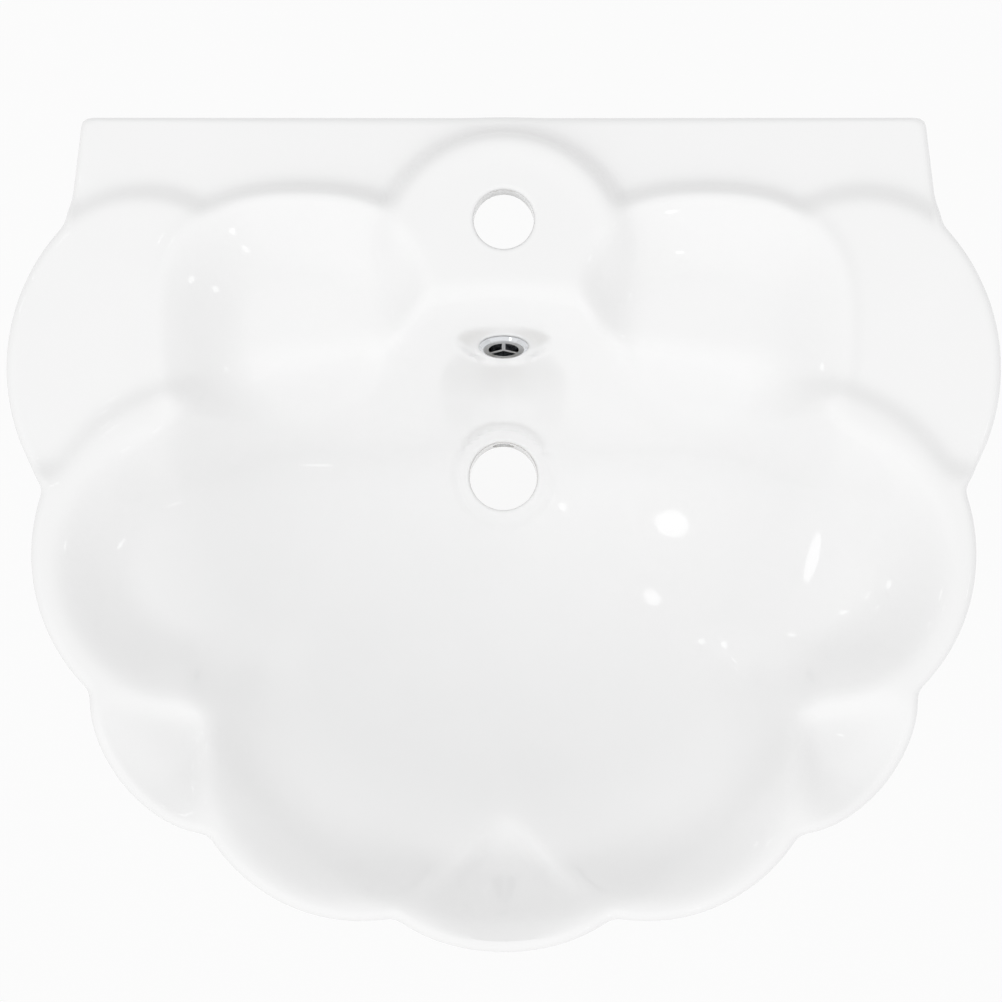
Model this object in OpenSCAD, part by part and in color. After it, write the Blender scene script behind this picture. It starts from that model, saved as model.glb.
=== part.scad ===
// Pedestal sink: a flower-shaped, scalloped basin of glazed ceramic on a hollow
// pedestal. +Z is up, +Y is towards the wall and the origin is on the floor,
// under the middle of the basin.

/* [Basin] */
// Height of the basin's rim above the floor
rim_h = 850; // [800:5:900]
// Overall width of the basin across its ear petals
basin_w = 581; // [574:1:590]
// Overall depth of the basin from the wall to its front petal
basin_d = 486; // [480:1:494]
// Depth of the waste seat below the rim
bowl_depth = 149; // [135:1:160]
// Thickness of the ware
wall_t = 13; // [11:0.5:15]
// Height of the skirt that hangs from the rim
skirt_h = 28; // [24:1:34]
// Rounding of the rim's outer edge
edge_r = 7; // [4:0.5:9]
// Height of the upright apron along the wall
apron_h = 150; // [120:5:165]
// Height of the basin's foot collar below the rim
collar_drop = 200; // [190:1:215]

/* [Outline lobes] */
// Radius of the ear lobe at each end of the basin
ear_r = 120.5; // [117:0.5:124]
// Distance of the ear lobe's centre ahead of the wall
ear_from_wall = 150; // [147:0.5:153]
// Radius of the side lobe
side_r = 110; // [107:0.5:113]
// Distance of the side lobe's centre from the middle
side_x = 162.2; // [159:0.2:165]
// Distance of the side lobe's centre behind the front
side_y = 228; // [225:0.5:231]
// Radius of the corner lobe
corner_r = 79; // [76:0.5:82]
// Distance of the corner lobe's centre from the middle
corner_x = 158; // [155:0.5:161]
// Distance of the corner lobe's centre behind the front
corner_y = 144.6; // [142:0.2:148]
// Radius of the front lobe
front_r = 102.5; // [99:0.5:105]
// Distance of the front lobe's centre from the middle
front_x = 81; // [78:0.5:84]
// Distance of the front lobe's centre behind the front
front_y = 120.4; // [117:0.2:123]
// Radius of the middle front lobe
nose_r = 108.2; // [104:0.2:116]
// Half width of the back slab at the wall
slab_w = 250.5; // [246:0.5:255]
// How much each end of the slab widens for 1 mm ahead of the wall
slab_flare = 0.1; // [0:0.01:0.16]
// Rounding of the slab's back corners
slab_corner = 8; // [6:1:24]

/* [Petals] */
// Rim radius of the large side petal
side_petal_r = 80; // [76:0.5:84]
// Distance of the side petal's centre from the middle
side_petal_x = 178.5; // [175:0.5:181]
// Distance of the side petal's centre behind the front
side_petal_y = 222; // [219:0.5:225]
// Rim radius of the front petal
front_petal_r = 84; // [81:0.5:87]
// Distance of the front petal's centre from the middle
front_petal_x = 85; // [82:0.5:88]
// Distance of the front petal's centre behind the front
front_petal_y = 112; // [109:0.5:115]
// Half width of the upper petal beside the tap ledge
upper_petal_w = 77; // [73:0.5:80]
// Half depth of the upper petal behind its centre
upper_petal_d = 68; // [64:0.5:71]
// Distance of the upper petal's centre from the middle
upper_petal_x = 119; // [116:0.5:122]
// Distance of the upper petal's centre ahead of the wall
upper_petal_y = 121.5; // [118:0.5:125]
// Depth of the upper petal's floor below the rim
upper_floor = 30; // [24:1:36]
// Depth at which the floors of the side and front petals level out
petal_floor = 31; // [26:1:38]
// Depth of the small corner petal
corner_petal_depth = 18; // [8:1:22]
// Depth of the small middle petal
nose_petal_depth = 14; // [6:1:20]
// Height of the bead round the upper petals
bead_h = 3; // [0:0.5:5]

/* [Back ledge] */
// Drop of the back slab below the rim
slab_drop = 12; // [8:0.5:14]
// Rise of the tap platform above the rim
platform_rise = 6; // [2:0.5:8]
// Radius of the tap platform
platform_r = 74; // [70:0.5:78]
// Distance of the platform's centre ahead of the wall
platform_from_wall = 86; // [83:0.5:89]
// Distance of the platform's front brow ahead of the wall
brow_from_wall = 101.5; // [98:0.5:105]
// Distance over which the wall below the brow falls
brow_run = 56; // [52:0.5:60]
// Drop of the ear plateau below the rim at its front end
ear_drop = 8; // [4:0.5:10]

/* [Holes] */
// Diameter of the tap hole
tap_d = 35; // [32:0.5:36]
// Distance of the tap hole's centre ahead of the wall
tap_from_wall = 66.5; // [63:0.5:70]
// Thickness of the ledge that the tap clamps on
tap_ledge_t = 14; // [10:0.5:22]
// Diameter of the waste hole
waste_d = 45; // [42:0.5:46]
// Diameter of the seat round the waste hole
waste_seat_d = 65; // [60:0.5:68]
// Distance of the waste hole's centre ahead of the wall
waste_from_wall = 201.5; // [198:0.5:205]
// Diameter of the overflow hole
overflow_d = 22; // [20:0.5:24]
// Depth of the overflow hole's centre below the rim
overflow_drop = 55; // [50:0.5:60]
// Diameter of the overflow channel inside the ware
channel_d = 15; // [10:0.5:17]
// Distance between the two wall bolts
bolt_spacing = 280; // [200:5:300]
// Diameter of each wall bolt hole
bolt_d = 14; // [10:0.5:16]
// Drop of the wall bolts below the rim
bolt_drop = 72; // [62:1:85]

/* [Pedestal] */
// Half width of the pedestal's foot
foot_r = 118; // [108:1:126]
// Half width of the pedestal at its waist
waist_r = 74; // [68:1:82]
// Half width of the pedestal at its top
top_r = 99; // [95:0.5:103]
// Wall thickness of the pedestal
ped_t = 12; // [10:0.5:14]
// Height of the plinth round the foot
plinth_h = 26; // [20:1:34]
// Height of the waist above the floor
waist_z = 420; // [360:10:460]
// Length of the straight side walls behind the round front
side_len = 62; // [50:1:75]
// Width of the edges that turn in at the back
return_w = 28; // [20:1:34]
// Height of the web that ties the two sides together
web_z = 560; // [500:5:600]
// Depth of the web, measured forward from the pedestal's open back
web_w = 26; // [20:1:44]

/* [Rubber pads] */
// Diameter of each pad
pad_d = 9; // [7:0.5:10]
// Thickness of each pad
pad_t = 3; // [2:0.5:5]

/* [Overflow ring] */
// Diameter of the ring's flange
ring_d = 30; // [27:0.5:33]
// Thickness of the flange
ring_t = 2.4; // [1.6:0.2:3]
// Length of the barrel inside the hole
ring_len = 10; // [7:0.5:12]
// Wall thickness of the barrel
ring_wall = 1.5; // [1:0.1:2]
// Width of each spoke
spoke_w = 2.2; // [1.4:0.1:3]

/* [Floor fixings] */
// Height of the side screws above the floor
screw_z = 16; // [13:0.5:18]
// Distance of the side screws ahead of the pedestal's back edge
screw_from_back = 37; // [34:0.5:42]
// Diameter of the side screws
screw_d = 5; // [4:0.5:6]
// Diameter of the screw caps
cap_d = 16; // [14:0.5:18]
// Length of the floor bracket along the wall of the foot
bracket_len = 40; // [32:1:50]
// How far the bracket's foot reaches in over the floor
bracket_reach = 34; // [28:1:40]
// Thickness of the bracket
bracket_t = 6; // [4:0.5:8]
// Diameter of the floor screw hole in the bracket
floor_hole_d = 7; // [5:0.5:8]

/* [Fits] */
// Running clearance between a fitted piece and its hole
fit_gap = 0.3; // [0.2:0.05:0.5]

/* [Hidden] */
$fn = 72;

// Limits of the basin in plan
wall_y = basin_d / 2;
front = -basin_d / 2;
waste = [0, wall_y - waste_from_wall];
tap_y = wall_y - tap_from_wall;
brow_y = wall_y - brow_from_wall;
platform_y = wall_y - platform_from_wall;

// Outline lobes of the right half: centre x, centre y, radius
lobes = [[0, front + nose_r, nose_r],
         [front_x, front + front_y, front_r],
         [corner_x, front + corner_y, corner_r],
         [side_x, front + side_y, side_r],
         [basin_w / 2 - ear_r, wall_y - ear_from_wall, ear_r]];

// Petal dishes of the right half
side_petal = [side_petal_x, front + side_petal_y];
front_petal = [front_petal_x, front + front_petal_y];
upper_petal = [upper_petal_x, wall_y - upper_petal_y];

// Smooth step from 0 to 1
function step(u) = let(v = min(1, max(0, u))) v * v * v * (v * (6 * v - 15) + 10);
// Smooth minimum and maximum with a blend of width k
function smin(a, b, k) =
    let(h = min(1, max(0, 0.5 + 0.5 * (b - a) / k)))
    b + (a - b) * h - k * h * (1 - h);
function smax(a, b, k) = -smin(-a, -b, k);
// Profile of a dish wall: flat, then steep, then rounded over at 1
function dish_wall(u, a, b) = let(v = min(1, max(0, u))) 1 - pow(1 - pow(v, a), b);
// Blend of two dish walls that keeps their rims and floors in place
function join_walls(a, b) =
    let(m = min(1, max(0, min(a, b))))
    smin(a, b, 0.5 * m * (1 - m) + 0.0001);
// Blend of two dish walls that keeps the higher one and their rims and floors
function meet_walls(a, b) =
    let(m = min(1, max(0, a, b)))
    smax(a, b, 0.9 * m * (1 - m) + 0.0001);
// Normalised distance in a round petal that opens towards the waste
function petal_t(p, c, r) =
    let(d = (c - waste) / norm(c - waste), q = p - c,
        s = q * d, w = q[1] * d[0] - q[0] * d[1],
        wide = r + 0.25 * max(0, -s))
    norm([max(0, s) / r, w / wide]);
// Normalised distance in the upper petal, a soft-cornered oblong
function upper_t(p, grow) =
    let(q = p - upper_petal, n = 2.5,
        d = q[1] > 0 ? upper_petal_d : upper_petal_d * 1.35)
    pow(pow(abs(q[0]) / (upper_petal_w + grow), n)
        + pow(abs(q[1]) / (d + grow), n), 1 / n);

// Floor of the bowl below its petals, falling to the waste
floor_base = bowl_depth + 3;
function bowl_floor(p) =
    let(q = p - waste, ry = q[1] < 0 ? 212 : 190,
        rho = norm([p[0] / 192, q[1] / ry]),
        base = smin((floor_base - 50) * pow(rho, 1.75) - floor_base, -petal_floor, 34),
        back = step((p[1] - 52 + 0.1 * p[0]) / 76) * step((p[0] + 60) / 160))
    base + back * max(0, -upper_floor - base);

// Share of the way from the floor up to the land, 0 inside and 1 outside,
// for petals that are larger by grow
function wall_share(p, grow) =
    let(ts = petal_t(p, side_petal, side_petal_r + grow),
        tf = petal_t(p, front_petal, front_petal_r + grow),
        tu = upper_t(p, grow),
        ws = dish_wall((ts - 0.5) / 0.5, 1.8, 1.5),
        wf = dish_wall((tf - 0.4) / 0.6, 2, 1.45),
        wu = dish_wall((tu - 0.45) / 0.55, 1.8, 1.6),
        wr = step((p[1] - grow - brow_y + brow_run) / brow_run))
    min(1, max(0, join_walls(meet_walls(join_walls(ws, wf), wr), wu)));

// How far inside the raised lobes behind the bowl: ear, upper petal, platform
ear_lip = [170, front + 225];
ear_back = [211, wall_y - 119];
ear_back_r = 71.2;
function raised_by(p) =
    max(ear_back_r - norm(p - ear_back), (1.12 - upper_t(p, 0)) * 71,
        platform_r - 1.5 - norm(p - [0, platform_y]));

// Shallow oval dish of one small petal, p from its centre
function small_dish(p, half_w, half_d, depth) =
    -depth * (1 - dish_wall((norm([p[0] / half_w, p[1] / half_d]) - 0.25) / 0.75,
                            1.8, 1.5));

// Everything that is not inside a large petal: rim, ridges, ears, slab, platform
function land(p) =
    let(ts = petal_t(p, side_petal, side_petal_r),
        tf = petal_t(p, front_petal, front_petal_r),
        tu = upper_t(p, 0),
        e = norm([p[0] / 212, (p[1] + 10) / 230]),
        fall = -330 * pow(max(0, 0.94 - e), 1.1) * (1 - step((p[1] - 50) / 50)),
        ridge = p[1] < 100 ? smax(fall, min(bowl_floor(p) + 4, -8), 5) : fall,
        corner = small_dish(p - [196, front + 114], 44, 44, corner_petal_depth)
            * step(smin((ts - 1) / 0.17, (tf - 1) / 0.11, 0.8)),
        other = petal_t([-p[0], p[1]], front_petal, front_petal_r),
        nose = small_dish(p - [0, front + 37], 50, 37, nose_petal_depth)
            * step(smin((tf - 1) / 0.14, (other - 1) / 0.14, 0.8)),
        ear = -ear_drop + (ear_drop - 1) * (p[1] - 45) / 150,
        in_ear = step((norm(p - ear_lip) - 92) / 16)
            * step((p[1] - 20) / 20) * step((p[0] - 120) / 40),
        bead = bead_h * exp(-pow((tu - 1.06) / 0.05, 2)) * step((p[1] - 60) / 20),
        low = (ridge + corner + nose) * (1 - in_ear) + ear * in_ear + bead,
        raised = step((max(raised_by(p), brow_y - p[1]) + 7.5) / 15),
        on_slab = -slab_drop + (low + slab_drop) * raised,
        rp = norm(p - [0, platform_y]),
        on_disc = step((platform_r - rp + 5) / 13),
        disc = platform_rise + 1.5 * exp(-pow((rp - platform_r + 12) / 6, 2)))
    on_slab + (disc - on_slab) * on_disc;

// Top surface of the basin, from the rim plane, with the seat round the waste
seat_run = 6;
function total(v, i = 0) = i < len(v) ? v[i] + total(v, i + 1) : 0;
function crisp_z(q) =
    let(p = [abs(q[0]), q[1]], f = bowl_floor(p), w = wall_share(p, 0))
    f + (land(p) - f) * w;
// The top surface: the crisp one softened by the glaze, which rounds every crest
// and hollow, and then the flat seat round the waste hole
soft_r = 8;
soft_ring = [for (i = [0:5]) soft_r * [cos(60 * i), sin(60 * i)]];
function top_z(q) =
    let(z = (2 * crisp_z(q) + total([for (s = soft_ring) crisp_z(q + s)])) / 8,
        seat = step((waste_seat_d / 2 + seat_run / 2 - norm(q - waste)) / seat_run))
    z + (-bowl_depth - z) * seat;

// Foot collar under the bowl: round in front, square at the back
collar_r = top_r;
collar_back = wall_y - 115;
function collar_edge(a, inset) =
    let(r = collar_r - inset, b = collar_back - inset - waste[1])
    sin(a) <= 0 ? r
    : smin(r / max(0.01, abs(cos(a))), b / max(0.01, sin(a)), 12);

// Underside of the basin, from the rim plane
function under_z(q, a, d) =
    let(p = [abs(q[0]), q[1]], f = bowl_floor(p) - wall_t, w = wall_share(p, wall_t),
        shell = min(f + (-skirt_h - f) * w, top_z(q) - wall_t),
        back = step((sin(a) - 0.3) / 0.5),
        flank = -collar_drop + (2.4 + 9 * back) * (d - collar_edge(a, 0)))
    smin(shell, flank, 22 - 14 * back);

// Distance from the waste centre to the far side of a circle along d
function exit_dist(c, r, d) =
    let(q = c - waste, s = q * d, w = q[1] * d[0] - q[0] * d[1])
    abs(w) < r ? s + sqrt(r * r - w * w) : 0;
// Greatest of a list, with each next value blended in over 4 mm
function soft_most(v, i = 0, most = 0) =
    i < len(v) ? soft_most(v, i + 1, smax(most, v[i], 4)) : most;
// Outline distance along angle a, for the right half
function edge_half(a) =
    let(d = [cos(a), sin(a)],
        ex = [for (l = lobes) exit_dist([l[0], l[1]], l[2], d)],
        back = d[1] > 0.05 ? (wall_y - waste[1]) / d[1] : 10000,
        run = d[0] + slab_flare * d[1],
        side = run > 0.01
            ? (slab_w + slab_flare * (wall_y - waste[1])) / run : 10000,
        slab = d[1] > 0.3 ? smin(back, side, slab_corner) : 0)
    min(back, smax(soft_most(ex), slab, 3));
function edge_dist(a) = edge_half(cos(a) < 0 ? 180 - a : a);
// Last distance along angle a, between lo and hi, at which f is positive
function halve(a, lo, hi, f, n) =
    n == 0 ? lo
    : let(m = (lo + hi) / 2) f(at(a, m)) > 0 ? halve(a, m, hi, f, n - 1)
                                             : halve(a, lo, m, f, n - 1);
function last_inside(a, lo, hi, f) =
    let(n = 40, ok = [for (i = [0:n]) let(d = lo + (hi - lo) * i / n)
                      if (f(at(a, d)) > 0) d])
    len(ok) == 0 ? 0
    : max(ok) >= hi ? hi : halve(a, max(ok), max(ok) + (hi - lo) / n, f, 9);

// Distance to the petals' rim along angle a, for the right half
function rim_half(a) =
    let(d = [cos(a), sin(a)], edge = edge_half(a),
        brow = d[1] > 0.85 ? (brow_y - waste[1]) / d[1] : 0,
        upper = d[1] < 0.1 ? 0
            : last_inside(a, 60, edge - 20, function(p) 1 - upper_t(p, 0)))
    min(edge - edge_r - 4,
        max(exit_dist(side_petal, side_petal_r, d),
            exit_dist(front_petal, front_petal_r, d), upper, brow,
            d[1] < 0.5 ? 0.76 * edge : 0));
// Distance to the slope between the raised lobes and the back slab, or to the
// lip between the side petal and the ear, or half way over the land
function slope_half(a) =
    let(edge = edge_half(a) - edge_r, rim = rim_half(a), mid = (rim + edge) / 2,
        slab = a > ear_end
            ? last_inside(a, 90, edge - 9, function(p) raised_by(p)) : 0,
        lip = a > keys[4] - 1 && a < 25
            ? last_inside(a, 90, edge - 9, function(p) 100 - norm(p - ear_lip)) : 0)
    edge - rim < 18 ? mid
    : max(rim + 9, min(edge - 9, slab > 0 ? slab : lip > rim + 9 ? lip : mid));

// Point where two neighbouring lobes cross on the outside
function crossing(i) =
    let(c = [lobes[i][0], lobes[i][1]], e = [lobes[i + 1][0], lobes[i + 1][1]],
        r = lobes[i][2], s = lobes[i + 1][2], l = norm(e - c), u = (e - c) / l,
        k = (l * l + r * r - s * s) / (2 * l), h = sqrt(max(0, r * r - k * k)))
    c + u * k + [u[1], -u[0]] * h;
function bearing(p) = atan2(p[1] - waste[1], p[0] - waste[0]);
// Bearings of the notches, the ear's end, the slab's corner and the junctions
// of the raised lobes, and the number of rays between them
slab_side = slab_w + 6;
ear_x = basin_w / 2 - ear_r;
ear_end = bearing([slab_side, wall_y - ear_from_wall
                   + sqrt(pow(ear_r, 2) - pow(slab_side - ear_x, 2))]);
keys = concat([-90], [for (i = [0:3]) bearing(crossing(i))],
              [ear_end, bearing([slab_w + 1, wall_y - 14]),
               bearing([slab_w - 13, wall_y]),
               bearing([platform_r - 8, platform_y + 33]), 90]);
counts = [5, 5, 6, 8, 13, 3, 3, 10, 8];
half_rays = [for (i = [0:8], j = [0:counts[i] - 1])
             keys[i] + (keys[i + 1] - keys[i]) * j / counts[i]];
rays = concat(half_rays, [90],
              [for (i = [len(half_rays) - 1:-1:1]) 180 - half_rays[i]]);
n_rays = len(rays);
function mirrored(a) = cos(a) < 0 ? 180 - a : a;
// A list that closes on itself, evened out n times over each value's neighbours
function even_out(v, n) =
    n == 0 ? v
    : let(m = len(v))
      even_out([for (i = [0:m - 1])
                (v[(i + m - 1) % m] + 2 * v[i] + v[(i + 1) % m]) / 4], n - 1);

// Ring spacing of the basin: shares of the way from the waste to the petals'
// rim, from there to the edge, and back under to the collar
seat_in = waste_d / 2 - 3;
seat_r = waste_seat_d / 2 - seat_run / 2;
n_in = 14;
n_edge = 3;
n_plate = 3;
n_under = 8;
slope_marks = [-8.5, -4.5, -1.2, 1.2, 4.5, 8.5];
// Inside of the collar, the bowl's underside and the waste boss
boss_r = waste_d / 2 + 12;
boss_drop = bowl_depth + wall_t + 16;
hollow_z = -bowl_depth - wall_t;
function at(a, d) = waste + d * [cos(a), sin(a)];
function lift(p, z) = [p[0], p[1], rim_h + z];
function skirt_z(a) =
    let(p = at(a, edge_dist(a)))
    -skirt_h - (apron_h - skirt_h) * step((p[1] - wall_y + 60) / 55)
        * step((slab_w + 10 - abs(p[0])) / 90);
function plate_z(p, a, d) = min(under_z(p, a, d), 1 - skirt_h);

// How far the middle of the edge from p to q lies off the top surface
function off_top(p, q) =
    let(m = (p + q) / 2) abs(m[2] - rim_h - top_z([m[0], m[1]]));

// Closed skin through a stack of rings, with a hub at each end. Each four-sided
// cell is split along its shorter diagonal, or in the first n_top rows along the
// one that lies clearly closer to the top surface.
clearly = 0.6;
module ring_skin(rows, n_top, first_hub, last_hub) {
    n = len(rows[0]);
    m = len(rows);
    pts = concat([for (row = rows, p = row) p], [first_hub, last_hub]);
    quads = [for (i = [0:m - 2], j = [0:n - 1])
        let(k = (j + 1) % n, a = i * n + j, b = i * n + k, c = a + n, d = b + n,
            gain = i < n_top ? off_top(pts[b], pts[c]) - off_top(pts[a], pts[d]) : 0,
            across = abs(gain) > clearly ? gain > 0
                : norm(pts[a] - pts[d]) < norm(pts[b] - pts[c]))
        each across ? [[a, b, d], [a, d, c]] : [[a, b, c], [b, d, c]]];
    caps = [for (j = [0:n - 1]) let(k = (j + 1) % n)
        each [[k, j, m * n], [(m - 1) * n + j, (m - 1) * n + k, m * n + 1]]];
    polyhedron(points = pts, faces = concat(quads, caps), convexity = 10);
}

// The whole skin of the basin, ring by ring, from the waste over the petals and
// the land to the edge, and back under the bowl to the waste boss
module ware_skin() {
    rim_raw = [for (a = rays) rim_half(mirrored(a))];
    rims = even_out(rim_raw, 3);
    slopes = even_out([for (a = rays) slope_half(mirrored(a))], 1);
    edges = [for (a = rays) edge_dist(a)];
    function in_dist(j, i) =
        i == 0 ? seat_in
        : i < 4 ? seat_r + (i - 1) * seat_run / 2
        : let(d = seat_r + seat_run, s = (i - 3) / (n_in - 3))
          d + (rims[j] - d) * (1 - pow(1 - s, 1.45));
    top_rings = [for (i = [0:n_in])
        [for (j = [0:n_rays - 1])
            let(p = at(rays[j], in_dist(j, i)))
            lift(p, top_z(p))]];
    function land_stops(j) =
        let(r = rims[j], e = edges[j] - edge_r,
            m = max(r + 3, min(e - 3, slopes[j])),
            k = min(1, (m - r) / 12, (e - m) / 12))
        concat([r + (m - 8.5 * k - r) / 3, r + 2 * (m - 8.5 * k - r) / 3],
               [for (x = slope_marks) m + x * k],
               [(m + 8.5 * k + e) / 2, e]);
    land_rows = [for (j = [0:n_rays - 1]) land_stops(j)];
    land_rings = [for (i = [0:len(slope_marks) + 3])
        [for (j = [0:n_rays - 1])
            let(p = at(rays[j], land_rows[j][i]))
            lift(p, top_z(p))]];
    edge_rings = [for (i = [1:n_edge]) let(t = 90 * i / n_edge)
        [for (a = rays)
            let(p = at(a, edge_dist(a) - edge_r * (1 - sin(t))),
                q = at(a, edge_dist(a) - edge_r))
            lift(p, top_z(q) - edge_r * (1 - cos(t)))]];
    skirt_rings = [
        [for (a = rays) lift(at(a, edge_dist(a)), skirt_z(a) + 3)],
        [for (a = rays) lift(at(a, edge_dist(a) - 3), skirt_z(a))],
        [for (a = rays) lift(at(a, edge_dist(a) - wall_t + 1), skirt_z(a))],
        [for (a = rays) lift(at(a, edge_dist(a) - wall_t - 1), 2 - skirt_h)]];
    plate_dists = [for (i = [0:n_plate]) let(s = (i + 0.4) / (n_plate + 0.4))
        [for (j = [0:n_rays - 1])
            let(o = edges[j] - wall_t - 1, m = min(o - 4, rims[j] + wall_t))
            o + (m - o) * s]];
    under_dists = [for (i = [1:n_under - 1]) let(s = 1 - i / n_under)
        [for (j = [0:n_rays - 1])
            let(c = collar_edge(rays[j], 0),
                m = min(edges[j] - wall_t - 5, rims[j] + wall_t))
            c + (m - c) * pow(s, 0.8)]];
    under_rings = [for (dists = concat(plate_dists, under_dists))
        let(zs = [for (j = [0:n_rays - 1])
                      plate_z(at(rays[j], dists[j]), rays[j], dists[j])],
            m = n_rays - 1,
            low = [for (j = [0:m])
                       min(zs[j == 0 ? m : j - 1], zs[j], zs[j == m ? 0 : j + 1])],
            even = even_out(low, 2))
        [for (j = [0:m]) lift(at(rays[j], dists[j]), even[j])]];
    inner_rings = [
        [for (a = rays) lift(at(a, collar_edge(a, 0)), -collar_drop)],
        [for (a = rays) lift(at(a, collar_edge(a, wall_t)), -collar_drop)],
        [for (a = rays) let(d = collar_edge(a, wall_t), p = at(a, d))
            lift(p, min(top_z(p), top_z(at(a, d - 12))) - wall_t)],
        [for (a = rays) let(d = (collar_edge(a, wall_t) + boss_r) / 2, p = at(a, d))
            lift(p, top_z(p) - wall_t)],
        [for (a = rays) lift(at(a, boss_r), hollow_z)],
        [for (a = rays) lift(at(a, boss_r), -boss_drop)]];
    rings = concat(top_rings, land_rings, edge_rings, skirt_rings, under_rings,
                   inner_rings);
    ring_skin(rings, n_in + len(land_rings), lift(waste, -bowl_depth),
              lift(waste, -boss_drop));
}

// Rib that ties the bowl to the back wall, at distance x from the middle
module back_rib(x) {
    rib_t = 11;
    rib_low = -120;
    n = 14;
    y0 = collar_back + 2;
    y1 = wall_y - wall_t / 2;
    tops = [for (i = [0:n]) let(y = y0 + (y1 - y0) * i / n,
            p = [x, y], q = p - waste)
        [y, under_z(p, bearing(p), norm(q)) + 6]];
    lows = [for (t = tops) [t[0], min(rib_low, t[1] - 3)]];
    pts = concat(tops, [for (i = [n:-1:0]) lows[i]]);
    for (side = [-1, 1])
        translate([side * x - rib_t / 2, 0, rim_h])
            rotate([90, 0, 90])
                linear_extrude(rib_t)
                    polygon(pts);
}

// Moulded duct that leads the overflow down to the waste boss
duct_y = brow_y - 5;
duct_low = 12 - boss_drop;
module duct_body() {
    r = channel_d / 2 + 7;
    translate([0, duct_y, rim_h - boss_drop])
        cylinder(h = boss_drop - 42, r = r);
    translate([0, waste[1] + boss_r - 4, rim_h + duct_low])
        rotate([-90, 0, 0])
            cylinder(h = duct_y - waste[1] - boss_r + 4, r = channel_d / 2 + 6);
}

// Slope of the wall at the overflow and the place where its axis meets the glaze
wall_low = floor_base - 47;
wall_rise = wall_low + platform_rise;
overflow_y = brow_y - brow_run / 2
    + brow_run * (wall_low - overflow_drop - wall_rise / 2) / (1.875 * wall_rise);
overflow_tilt = atan(1.875 * wall_rise / brow_run);
module at_overflow() {
    translate([0, overflow_y, rim_h - overflow_drop])
        rotate([overflow_tilt, 0, 0])
            children();
}

module basin() {
    color("white")
    difference() {
        union() {
            ware_skin();
            back_rib(92);
            duct_body();
        }
        // waste hole
        translate([waste[0], waste[1], rim_h - collar_drop - 1])
            cylinder(h = collar_drop, d = waste_d);
        // tap hole and the clamping face below it
        translate([0, tap_y, rim_h - 60])
            cylinder(h = 100, d = tap_d);
        translate([0, tap_y, rim_h + platform_rise - tap_ledge_t - 40])
            cylinder(h = 40, d = tap_d + 20);
        // overflow hole, channel and outlet into the waste hole
        at_overflow()
            translate([0, 0, -24])
                cylinder(h = 40, d = overflow_d);
        translate([0, duct_y, rim_h + duct_low])
            cylinder(h = -duct_low - overflow_drop, d = channel_d);
        translate([0, waste[1] + waste_d / 4, rim_h + duct_low])
            rotate([-90, 0, 0])
                cylinder(h = duct_y - waste[1] - waste_d / 4, d = channel_d - 1);
        // wall bolt holes
        for (side = [-1, 1])
            translate([side * bolt_spacing / 2, wall_y + 5, rim_h - bolt_drop])
                rotate([90, 0, 0])
                    cylinder(h = wall_t + 10, d = bolt_d);
    }
}

// Pedestal profile: half width at height z
ped_h = rim_h - collar_drop - pad_t;
function ped_r(z) =
    z <= plinth_h ? foot_r
    : z < waist_z
        ? let(t = (z - plinth_h) / (waist_z - plinth_h))
          waist_r + (foot_r - 8 - waist_r) * pow(1 - t, 2.6)
    : let(t = (z - waist_z) / (ped_h - waist_z))
      waist_r + (top_r - waist_r) * pow(t, 2.2);
n_low = 12;
n_high = 9;
ped_zs = concat([for (i = [0:n_low]) plinth_h + (waist_z - plinth_h) * pow(i / n_low, 1.6)],
                [for (i = [1:n_high]) waist_z + (ped_h - waist_z) * i / n_high]);
outer_pts = concat([[foot_r - 3, 0], [foot_r, 3], [foot_r, plinth_h - 4],
                    [foot_r - 1.2, plinth_h - 1.2], [foot_r - 4, plinth_h]],
                   [for (z = ped_zs) [z > plinth_h ? ped_r(z) : foot_r - 8, z]]);
function inner_side(t) =
    [for (i = [len(ped_zs) - 1:-1:0]) [ped_r(ped_zs[i] + 0.01) - t, ped_zs[i]]];
module ped_section(t) {
    polygon(concat(outer_pts, inner_side(t), [[ped_r(plinth_h + 0.01) - t, 0]]));
}

module pedestal() {
    side_y1 = waste[1] + side_len;
    color("white")
    difference() {
        union() {
            // round front
            translate([waste[0], waste[1], 0])
                rotate([0, 0, 180])
                    rotate_extrude(angle = 180)
                        ped_section(ped_t);
            // straight sides and the edges that turn in at the back
            for (side = [0, 1])
                mirror([side, 0, 0]) {
                    translate([0, side_y1, 0])
                        rotate([90, 0, 0])
                            linear_extrude(side_len)
                                ped_section(ped_t);
                    translate([0, side_y1, 0])
                        rotate([90, 0, 0])
                            linear_extrude(ped_t)
                                ped_section(return_w);
                }
            // web that ties the two sides together
            translate([-waist_r, side_y1 - web_w, web_z])
                cube([2 * waist_r, web_w, ped_t]);
        }
        // side holes for the floor fixings
        for (side = [-1, 1])
            translate([side * foot_r, screw_y, screw_z])
                rotate([0, side * 90, 0]) {
                    translate([0, 0, -40])
                        cylinder(h = 50, d = screw_d + 3);
                    translate([0, 0, -2.2])
                        cylinder(h = 10, d = cap_d + 2 * fit_gap);
                }
    }
}

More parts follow.
